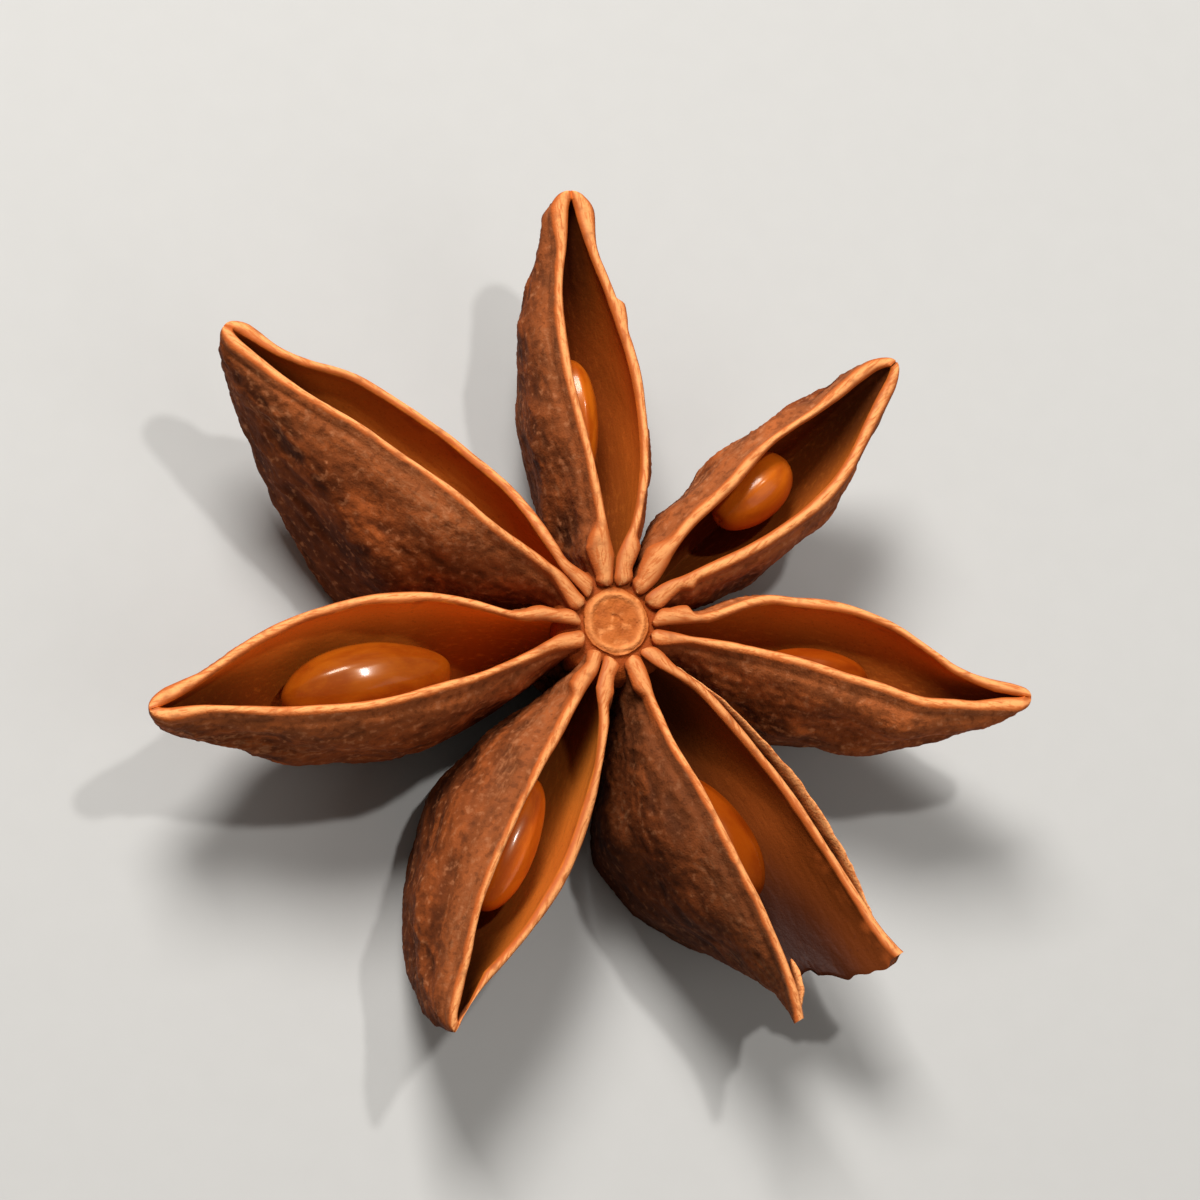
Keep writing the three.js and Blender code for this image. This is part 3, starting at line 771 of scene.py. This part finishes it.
def make_carpel(name, finish):
    """One carpel: its rings of points, pushed out along their normals by the fine relief."""
    carpel = CARPELS[name]
    s = spread(STATIONS, *BUNCHED)[:, None]
    own, down, inside, at = carpel_grid(name, np.maximum(s, LEAST))
    own[..., 0] += (LOBE_START - RIM_FROM_AXIS) * (1 - smooth(s, 0, LOBE_PULL))
    if carpel["split"] > CLOSED:
        side = np.sign(own[..., 1] - at["middle"]) * (1 - np.clip(down, 0, 1))
        torn = clouds(np.stack([side, side, side], axis=-1), "torn")
        own[..., 0] += RAGGED * torn * smooth(s, 1 - RAGGED_OVER, 1)
    grain = own + (PIECES_APART * list(CARPELS).index(name), 0, 0)
    height, fold = carpel_relief(grain, own[..., 0], down, inside, at["depth"])
    points = headed(own, carpel["azimuth"])
    fade = smooth(s, 0, RELIEF_FADES) * smooth(1 - s, 0, RELIEF_FADES)
    points = points + grid_normals(points) * (height * fade)[..., None]
    points[..., 2] = np.maximum(points[..., 2], 0)
    rows, columns = points.shape[:2]
    ends = end_faces(columns, 0, False), end_faces(columns, (rows - 1) * columns, True)
    quads, threes = (np.concatenate(group) for group in zip(*ends))
    faces = ring_faces(rows, columns).tolist() + quads.tolist() + threes.tolist()
    below = np.maximum(down, 0) * at["depth"]
    attributes = {
        "rim": rim_colour(s, at["along"], down, below, inside, grain),
        # Where the painted highlight along the rim's crest lies
        "crest": smooth(-down, *CREST),
        "tone": carpel_tone(name, s, down, inside),
        "lobe": 1 - smooth(own[..., 0], *LOBE_COLOUR),
        "inside": inside,
        "down": np.clip(down, 0, 1),
        "fold": fold,
        "grain": grain,
    }
    return make_piece(f"carpel_{name}", points, faces, attributes, finish, ["fruit"])


def closed_rows(rows, columns):
    """Faces of a grid of rings that closes on itself sideways, with a pole before its first ring and
    one after its last: the poles are the last two points."""
    first, last = rows * columns, rows * columns + 1
    here = np.arange(columns)
    there = (here + 1) % columns
    end = (rows - 1) * columns
    low = np.stack([np.full(columns, first), there, here], axis=-1)
    high = np.stack([np.full(columns, last), end + here, end + there], axis=-1)
    return ring_faces(rows, columns).tolist() + np.concatenate([low, high]).tolist()


def make_column(finish):
    """The column, turned about the upright axis: its outline up to the edge of the top, and from
    there a disc of height top + ring exp(-((r - R) / w)^2), with mottled relief and a curved mark."""
    outline = np.array(COLUMN_OUTLINE)
    run = np.concatenate([[0], np.cumsum(np.linalg.norm(np.diff(outline, axis=0), axis=1))])
    way = np.linspace(0, run[-1], COLUMN_STEPS + 1)[1:]
    side = np.stack([np.interp(way, run, outline[:, 0]), np.interp(way, run, outline[:, 1])], axis=-1)
    weights = np.hanning(2 * OUTLINE_SOFTENED + 1)
    weights = weights / weights.sum()
    padded = np.pad(side, ((OUTLINE_SOFTENED, OUTLINE_SOFTENED), (0, 0)), mode="edge")
    side = np.stack([np.convolve(padded[:, k], weights, mode="valid") for k in (0, 1)], axis=-1)
    disc_radius = np.linspace(side[-1, 0], 0, DISC_STEPS + 1)[1:-1]
    angle = np.linspace(0, 2 * math.pi, COLUMN_SPOKES, endpoint=False)[None, :]
    radius = np.concatenate([side[:, 0], disc_radius])[:, None]
    around = np.stack([np.cos(angle), np.sin(angle)], axis=-1)
    flat = radius[..., None] * around
    seat = np.concatenate([flat, np.zeros((*flat.shape[:2], 1))], axis=-1)
    on_top = np.concatenate([np.zeros(len(side)), np.ones(len(disc_radius))])[:, None]
    off_ring = radius - RING_RADIUS - RING_BENDS * clouds(seat, "ring_bend")
    ring = np.exp(-(off_ring / RING_WIDTH) ** 2) * (1 + RING_VARIES * clouds(seat, "ring_height"))
    mottle = clouds(seat, "mottle")
    off_mark = np.linalg.norm(flat - MARK_AT, axis=-1) - MARK_RADIUS
    mark = np.exp(-(off_mark / MARK_WIDTH) ** 2) * smooth(np.cos(angle - MARK_FACES), *MARK_FADES)
    top = COLUMN_TOP + RING_HEIGHT * ring + MOTTLE_HEIGHT * mottle - MARK_DEPTH * mark
    edge = side[-1, 1]
    joined = smooth(radius, side[-1, 0], side[-1, 0] - DISC_JOINS)
    height = np.concatenate([side[:, 1], np.full(len(disc_radius), edge)])[:, None]
    height = mix(height + np.zeros_like(top), top, joined * on_top)
    points = np.concatenate([flat, height[..., None]], axis=-1)
    ripple = COLUMN_RIPPLE * clouds(points, "ripple") * (1 - on_top)
    points = points + ripple[..., None] * np.concatenate([around, 0 * angle[..., None]], axis=-1)
    points[..., 2] = np.maximum(points[..., 2], 0)
    rows, columns = points.shape[:2]
    poles = np.array([[0, 0, 0], [0, 0, points[-1, :, 2].mean()]])
    tops = (on_top + 0 * angle).ravel()
    attributes = {
        "top": np.append(tops, [0, 1]),
        "high": np.append(points[..., 2].ravel(), poles[:, 2]),
        "ring": np.append((ring * on_top).ravel(), [0, 0]),
        "pit": np.append((mark + PITS_IN_MOTTLE * np.maximum(-mottle, 0)).ravel(), [0, 0]),
    }
    every = np.concatenate([points.reshape(-1, 3), poles])
    return make_piece("column", every, closed_rows(rows, columns), attributes, finish,
                      ["fruit"])


def make_seed(name, finish):
    """A seed: x = -a cos u and, round it, y = b r cos v and z = c r sin v, with r = sin(u)^e (1 - k
    cos u), e the sharpness of its ends and k how much slimmer one is. It has a faint ridge above and
    below, and ends towards the column in a small sunken scar exp(-(u/w)^2)."""
    carpel = CARPELS[name]
    at, aside, below, (half_length, half_thick, half_high) = SEEDS[name]
    s = np.array([[(at - RIM_FROM_AXIS) / (carpel["length"] - RIM_FROM_AXIS)]])
    here = station(carpel, s)
    u = np.linspace(0, math.pi, SEED_STEPS + 2)[1:-1, None]
    v = np.linspace(0, 2 * math.pi, SEED_SPOKES, endpoint=False)[None, :]
    ends = SEED_ENDS_LONG if half_length > LONG_SEED else SEED_ENDS
    radius = np.sin(u) ** ends * (1 - SEED_SLIMMER * np.cos(u))
    x = -half_length * np.cos(u) + 0 * v
    ridge = 1 + SEED_RIDGE[0] * np.exp(-(np.cos(v) / SEED_RIDGE[1]) ** 2)
    y = half_thick * radius * np.cos(v)
    z = half_high * radius * np.sin(v) * ridge
    scar = np.exp(-(u / SCAR_WIDTH) ** 2) + 0 * v
    deep, in_middle, aside_more = SCAR_DEPTH
    x = x + deep * half_length * scar * (in_middle + aside_more * np.cos(v))
    own = np.stack([x, y, z], axis=-1)
    own = own * (1 + SEED_DENTS * clouds(own, "dent", (DENTS_APART * at, 0, 0))[..., None])
    poles = np.array([[own[0, :, 0].mean(), 0, 0], [half_length, 0, 0]])
    every = np.concatenate([own.reshape(-1, 3), poles])
    roll = float(here["roll"][0, 0])
    turned = np.stack([every[:, 0], every[:, 1] * math.cos(roll) - every[:, 2] * math.sin(roll),
                       every[:, 1] * math.sin(roll) + every[:, 2] * math.cos(roll)], axis=-1)
    centre = np.array([float(here["along"][0, 0]),
                       float(here["middle"][0, 0]) + aside * math.cos(roll) + below * math.sin(roll),
                       float(here["height"][0, 0]) + aside * math.sin(roll) - below * math.cos(roll)])
    points = headed(turned + centre, carpel["azimuth"])
    attributes = {
        "grain": (every + (PIECES_APART * at, 0, 0))[None],
        "scar": np.append(scar.ravel(), [1, 0]),
        "length_part": np.append((u / math.pi + 0 * v).ravel(), [0, 1]),
        "tone": np.full((1, len(every), 3), SEED_TONES[name]),
    }
    return make_piece(f"seed_{name}_shell", points, closed_rows(SEED_STEPS, SEED_SPOKES), attributes,
                      finish, [f"seed_{name}"])


def make_strip(name, crest, foot, half_width, finish):
    """A thin upright strip between a crest and a foot: round the middle of each pair of their points
    a ring w cos v across and h sin v up, h half the way from foot to crest, with w and h shrinking
    to nothing at both ends."""
    middle = (crest + foot) / 2
    up = crest - foot
    high = np.linalg.norm(up, axis=1, keepdims=True)
    across = np.cross(up / high, np.gradient(middle, axis=0))
    across = across / np.linalg.norm(across, axis=1, keepdims=True)
    part = np.linspace(0, 1, len(middle))[:, None]
    ends = np.sqrt(np.sin(math.pi * np.clip(part, 0, 1)))
    v = np.linspace(0, 2 * math.pi, STRIP_SPOKES, endpoint=False)[None, :, None]
    ring = -across[:, None] * np.cos(v) * (half_width * ends)[:, None]
    points = middle[:, None] + ring + (up * ends / 2)[:, None] * np.sin(v)
    points = points + STRIP_UNEVEN * clouds(points, "strip")[..., None]
    every = np.concatenate([points[1:-1].reshape(-1, 3), middle[[0, -1]]])
    height = np.append((np.sin(v[..., 0]) + 0 * points[1:-1, :, 0]).ravel(), [0, 0])
    # The crest carries the painted highlight, and the fold value paints the top lighter and the
    # underside darker: painted light and shade
    attributes = {
        "rim": smooth(height, *STRIP_RIM),
        "crest": smooth(height, *STRIP_CREST),
        "tone": np.full((1, len(every), 3), STRIP_TONE),
        "lobe": 0 * height,
        "inside": 0 * height,
        "down": STRIP_DOWN + 0 * height,
        "fold": STRIP_FOLD * height,
        "grain": every[None],
    }
    return make_piece(name, every, closed_rows(len(middle) - 2, STRIP_SPOKES), attributes, finish,
                      ["fruit"])


def beside_rim(name, side, along, outwards, upwards):
    """Points beside a carpel's rim: how far along they are, and how far level outwards and up."""
    carpel = CARPELS[name]
    s = ((along - RIM_FROM_AXIS) / (carpel["length"] - RIM_FROM_AXIS))[:, None]
    at = station(carpel, s)
    aside = side * (at["half"] * np.cos(at["roll"]) + outwards[:, None])
    height = at["height"] + side * at["half"] * np.sin(at["roll"]) + upwards[:, None]
    own = np.concatenate([at["along"], at["middle"] + aside, height], axis=1)
    return headed(own, carpel["azimuth"])


def make_split_rim(finish):
    """The outer layer of the bark where it stands off from the split beak's left rim: its crest
    leaves the rim beside the column, runs further off and comes back to the rim at the beak; its
    foot stays on the wall."""
    along = np.linspace(*SPLIT_ALONG, STRIP_STEPS)
    part = np.linspace(0, 1, STRIP_STEPS)
    near, away = (smooth(part, *comes) * (1 - smooth(part, *goes))
                  for comes, goes in (SPLIT_NEAR, SPLIT_AWAY))
    off = SPLIT_OFF[0] * near + SPLIT_OFF[1] * away
    out, up, more_up = SPLIT_CREST
    crest = beside_rim("lower_right", LEFT, along, out + off, up + more_up * away)
    out, follows, up, more_up = SPLIT_FOOT
    foot = beside_rim("lower_right", LEFT, along, out + follows * off, up + more_up * away)
    return make_strip("split_rim", crest, foot, SPLIT_HALF_WIDTH, finish)


def make_hook(finish):
    """The short piece of wall that curls back from the end of the split beak's right rim."""
    part = np.linspace(0, 1, STRIP_STEPS)
    along = CARPELS["lower_right"]["length"] - HOOK_FROM_END - HOOK_LENGTH * part
    inwards = HOOK_INWARDS * np.sin(math.pi * part / 2) ** HOOK_TURNS_IN
    up, falls = HOOK_CREST
    crest = beside_rim("lower_right", RIGHT, along, -inwards, up + falls * part ** 2)
    foot = beside_rim("lower_right", RIGHT, along, -inwards, HOOK_FOOT + 0 * part)
    return make_strip("hook", crest, foot, HOOK_HALF_WIDTH, finish)


# Materials

def linear(colour):
    """A colour as it looks, 0 to 255, as the light that the shader counts with: the sRGB curve."""
    c = np.array(colour) / 255
    return (*np.where(c < 0.04045, c / 12.92, ((c + 0.055) / 1.055) ** 2.4), 1.0)


class Finish:
    """A material whose nodes are added one short call at a time."""

    def __init__(self, name):
        self.material = bpy.data.materials.new(name)
        self.material.use_nodes = True
        self.tree = self.material.node_tree
        self.shader = self.tree.nodes["Principled BSDF"]

    def put(self, socket, value):
        """Links a socket to another, or sets it to a plain value."""
        if isinstance(value, bpy.types.NodeSocket):
            self.tree.links.new(value, socket)
        else:
            socket.default_value = value

    def node(self, kind, inputs=(), **settings):
        """A new node with these settings and inputs."""
        made = self.tree.nodes.new(kind)
        for key, value in settings.items():
            setattr(made, key, value)
        for key, value in dict(inputs).items():
            self.put(made.inputs[key], value)
        return made

    def attribute(self, name, output="Fac"):
        """What the mesh says under this name at each point."""
        return self.node("ShaderNodeAttribute", attribute_name=name).outputs[output]

    def millimetres(self):
        """Object coordinates counted in millimetres."""
        where = self.node("ShaderNodeTexCoord").outputs["Object"]
        return self.stretched(where, (1 / MM,) * 3)

    def stretched(self, where, scale):
        """A vector times another, number by number."""
        return self.node("ShaderNodeVectorMath", {0: where, 1: scale}, operation="MULTIPLY").outputs[0]

    def pattern(self, where, kind):
        """A noise of the table, from 0 to 1."""
        fineness, detail, distortion = PATTERNS[kind]
        finer = self.stretched(where, tuple(np.ones(3) * fineness))
        inputs = {"Vector": finer, "Scale": 1.0, "Detail": detail, "Distortion": distortion}
        return self.node("ShaderNodeTexNoise", inputs).outputs["Fac"]

    def math(self, operation, a, b=0.0):
        """One operation on two numbers."""
        return self.node("ShaderNodeMath", {0: a, 1: b}, operation=operation).outputs[0]

    def shown(self, value, layer):
        """How much of a layer shows: its part, times 3t^2 - 2t^3 of the way t through its range."""
        low, high, part = LAYERS[layer]
        inputs = {"Value": value, "From Min": low, "From Max": high}
        made = self.node("ShaderNodeMapRange", inputs, interpolation_type="SMOOTHSTEP")
        return self.math("MULTIPLY", made.outputs["Result"], part)

    def scaled(self, value, low, high):
        """Value, from 0 to 1, brought to the range from `low` to `high`."""
        inputs = {"Value": value, "To Min": low, "To Max": high}
        return self.node("ShaderNodeMapRange", inputs).outputs["Result"]

    def blend(self, factor, a, b):
        """Colour a where the factor is 0, colour b where it is 1."""
        made = self.node("ShaderNodeMix", data_type="RGBA")
        self.put(made.inputs[0], factor)
        for socket, value in ((made.inputs[6], a), (made.inputs[7], b)):
            self.put(socket, linear(value) if isinstance(value, tuple) else value)
        return made.outputs[2]

    def laid(self, under, colour, value, layer):
        """A colour laid over another as far as its layer shows."""
        return self.blend(self.shown(value, layer), under, colour)

    def painted(self, under, colour, name, part):
        """A colour laid over another where the mesh has the attribute, by this part."""
        return self.blend(self.math("MULTIPLY", self.attribute(name), part), under, colour)

    def toned(self, colour):
        """The colour times the piece's own tone."""
        return self.stretched(colour, self.attribute("tone", "Vector"))

    def bump(self, height, distance, strength=1.0, under=None):
        """The normals of a fine relief of this height in millimetres, on top of those under it."""
        inputs = {"Height": height, "Distance": distance * MM, "Strength": strength}
        if under is not None:
            inputs["Normal"] = under
        return self.node("ShaderNodeBump", inputs).outputs["Normal"]

    def shade(self, **values):
        """Sets or links the shader's own sockets, and returns the material."""
        names = {"colour": "Base Color", "roughness": "Roughness", "normal": "Normal", "ior": "IOR",
                 "coat": "Coat Weight", "coat_roughness": "Coat Roughness",
                 "specular": "Specular IOR Level", "tint": "Specular Tint"}
        for key, value in values.items():
            self.put(self.shader.inputs[names[key]], value)
        return self.material


def bark_finish():
    """The fruit's finish: rough brown bark with pale streaks, flecks and a greyish bloom outside,
    painted lighter on the ridges of its folds and darker in the hollows between them as painted
    light and shade; pale smooth rims, stained near the column, with a painted highlight along their
    crests and painted shade down their sides; and a satin orange-brown lining that darkens towards
    the bottom of the hollow as painted shade."""
    f = Finish("bark")
    where = f.millimetres()
    grain = f.attribute("grain", "Vector")
    inside = f.attribute("inside")
    down = f.attribute("down")
    speckle = f.pattern(where, "speckle")
    streaks = f.pattern(grain, "streaks")
    fine = f.pattern(grain, "fine")

    # Lighter on the ridges of the folds and darker in the hollows: painted light and shade; the streaks
    # are the bark's own
    lightness = f.math("ADD", f.math("MULTIPLY", f.attribute("fold"), FOLD_LIGHT), streaks)
    flank = f.laid(FLANK_DARK, FLANK, lightness, "flank")
    flank = f.laid(flank, FLANK_STREAK, streaks, "streak")
    patches = f.shown(f.pattern(grain, "patches"), "patch")
    flank = f.blend(f.math("MULTIPLY", patches, f.shown(fine, "patch_fine")), flank, FLANK_GREY)
    flank = f.laid(flank, FLANK_EDGE, down, "under_rim")
    flank = f.laid(flank, FLANK_DARK, down, "low")
    flank = f.laid(flank, FLANK_FLECK, f.pattern(where, "flecks"), "fleck")
    flank = f.laid(flank, FLANK_DARK, f.pattern(where, "pits"), "pit")

    # Darker towards the bottom of the hollow: painted shade; the speckle below is the lining's own
    lining = f.laid(LINING, LINING_SHADE_AND_SPECKLE, down, "bottom")
    lining = f.laid(lining, LINING_LIGHT, fine, "lining_fine")
    lining = f.laid(lining, LINING_SHADE_AND_SPECKLE, speckle, "lining_speckle")

    # Pale along the crest and darker down the sides: a painted highlight and painted shade over the
    # rim's own colour
    edge = f.blend(f.attribute("crest"), RIM_EDGE, RIM_PALE_AND_HIGHLIGHT)
    edge = f.painted(edge, RIM_STAIN, "lobe", LOBE_STAINED)
    edge = f.laid(edge, RIM_STAIN, f.pattern(where, "stains"), "rim_stain")
    edge = f.laid(edge, RIM_EDGE, speckle, "rim_speckle")
    edge = f.laid(edge, RIM_EDGE, f.pattern(grain, "rim_fibres"), "rim_fibre")

    colour = f.blend(f.attribute("rim"), f.toned(f.blend(inside, flank, lining)), edge)
    roughness = f.math("ADD", f.scaled(inside, BARK_ROUGH, LINING_ROUGH),
                       f.scaled(speckle, *SPECKLE_ROUGH))
    rough_bump, fine_bump = BARK_BUMPS
    bump = f.bump(f.pattern(where, "roughness"), rough_bump, f.scaled(inside, *BUMP_STRENGTH))
    bump = f.bump(fine, fine_bump, FINE_STRENGTH, bump)
    return f.shade(colour=colour, roughness=roughness, normal=bump, ior=BARK_IOR,
                   specular=BARK_SPECULAR)


def column_finish():
    """The column's finish: a mottled top, worn pale in places, inside a paler ring, and a darker
    rough side with a reddish collar."""
    f = Finish("column_bark")
    where = f.millimetres()
    mottle = f.pattern(where, "column_mottle")
    speckle = f.pattern(where, "column_speckle")
    top = f.laid(COLUMN, COLUMN_DEEP, mottle, "column_mottle")
    top = f.painted(top, COLUMN_PALE, "ring", RING_PALE)
    top = f.laid(top, COLUMN_PALE, f.pattern(where, "column_worn"), "column_worn")
    top = f.painted(top, COLUMN_DEEP, "pit", PIT_DEEP)
    side = f.laid(FLANK_DARK, COLUMN_DEEP, mottle, "column_side")
    side = f.laid(side, COLLAR, f.attribute("high"), "collar")
    return f.shade(colour=f.blend(f.attribute("top"), side, top), normal=f.bump(speckle, COLUMN_BUMP),
                   roughness=f.scaled(speckle, *COLUMN_ROUGH), ior=BARK_IOR, specular=BARK_SPECULAR)


def seed_finish(name):
    """The seeds' finish: a hard smooth amber coat, as glossy as its name's entry says, deeper
    towards its ends, with faint mottling and a pale scar."""
    f = Finish(name)
    grain = f.attribute("grain", "Vector")
    slow = f.pattern(grain, "seed_slow")
    fine = f.pattern(grain, "seed_fine")
    to_end = f.math("ABSOLUTE", f.math("SUBTRACT", f.attribute("length_part"), 0.5))
    colour = f.laid(SEED, SEED_DEEP, slow, "seed_slow")
    colour = f.laid(colour, SEED_DEEP, to_end, "seed_end")
    colour = f.laid(colour, SEED_PALE, fine, "seed_fine")
    colour = f.painted(colour, SEED_PALE, "scar", SCAR_PALE)
    specular, coat = SEED_GLOSS[name]
    return f.shade(colour=f.toned(colour), roughness=f.scaled(slow, *SEED_ROUGH), ior=SEED_IOR,
                   normal=f.bump(fine, *SEED_BUMP), specular=specular, tint=linear(SEED_SHINE),
                   coat=coat, coat_roughness=SEED_COAT_ROUGH)


def make_light(name, energy, place, size):
    """An area light of this size, in millimetres, aimed at the pod."""
    data = bpy.data.lights.new(name, "AREA")
    data.energy = energy
    data.size = size * MM
    light = bpy.data.objects.new(name, data)
    bpy.context.scene.collection.objects.link(light)
    light.location = Vector(place) * MM
    direction = (Vector(LIT_POINT) - Vector(place)).normalized()
    light.rotation_euler = direction.to_track_quat("-Z", "Y").to_euler()


def make_stage():
    """A plain pale floor under the pod, soft studio light and an even pale surround."""
    half = FLOOR_HALF * MM
    mesh = bpy.data.meshes.new("floor")
    corners = [(-half, -half, 0), (half, -half, 0), (half, half, 0), (-half, half, 0)]
    mesh.from_pydata(corners, [], [(0, 1, 2, 3)])
    floor = bpy.data.objects.new("floor", mesh)
    bpy.context.scene.collection.objects.link(floor)
    f = Finish("floor_paper")
    shadier = tuple(c - FLOOR_VARIES for c in FLOOR)
    colour = f.blend(f.pattern(f.millimetres(), "paper"), FLOOR, shadier)
    mesh.materials.append(f.shade(colour=colour, roughness=FLOOR_ROUGH))
    for name, (energy, place, size) in LIGHTS.items():
        make_light(name, energy, place, size)
    world = bpy.data.worlds.new("studio")
    world.use_nodes = True
    inputs = world.node_tree.nodes["Background"].inputs
    inputs["Color"].default_value = linear(SURROUND)
    inputs["Strength"].default_value = SURROUND_STRENGTH
    bpy.context.scene.world = world
    bpy.context.scene.view_settings.view_transform = "Standard"


# The view: the pod is seen a little off its upright axis, from its lower left, through a long lens
VIEW_RIGHT = Vector((0.9615, 0.0, 0.2747))
VIEW_UP = Vector((-0.0728, 0.9643, 0.2547))
LENS = 200
SENSOR = 36
FRAME_WIDTH = 57
RIM_CENTRE = Vector((0, 0, 7.5))
AIM_RIGHT = -0.77
AIM_UP = 1.04
AIM = RIM_CENTRE + AIM_RIGHT * VIEW_RIGHT + AIM_UP * VIEW_UP
CLIP_START = 10


def make_camera():
    """A long lens whose frame is FRAME_WIDTH wide at the aim, so the distance is width times lens
    over sensor."""
    data = bpy.data.cameras.new("camera")
    data.lens = LENS
    data.sensor_width = SENSOR
    data.clip_start = CLIP_START * MM
    camera = bpy.data.objects.new("camera", data)
    bpy.context.scene.collection.objects.link(camera)
    back = VIEW_RIGHT.cross(VIEW_UP)
    turn = Matrix((VIEW_RIGHT, VIEW_UP, back)).transposed().to_4x4()
    place = (AIM + back * (FRAME_WIDTH * LENS / SENSOR)) * MM
    camera.matrix_world = Matrix.Translation(place) @ turn
    bpy.context.scene.camera = camera


make_camera()
make_stage()
bark = bark_finish()
for carpel_name in CARPELS:
    make_carpel(carpel_name, bark)
make_split_rim(bark)
make_hook(bark)
make_column(column_finish())
glossy, dull = (seed_finish(finish_name) for finish_name in SEED_GLOSS)
for carpel_name in SEEDS:
    make_seed(carpel_name, dull if carpel_name in DULL_SEEDS else glossy)
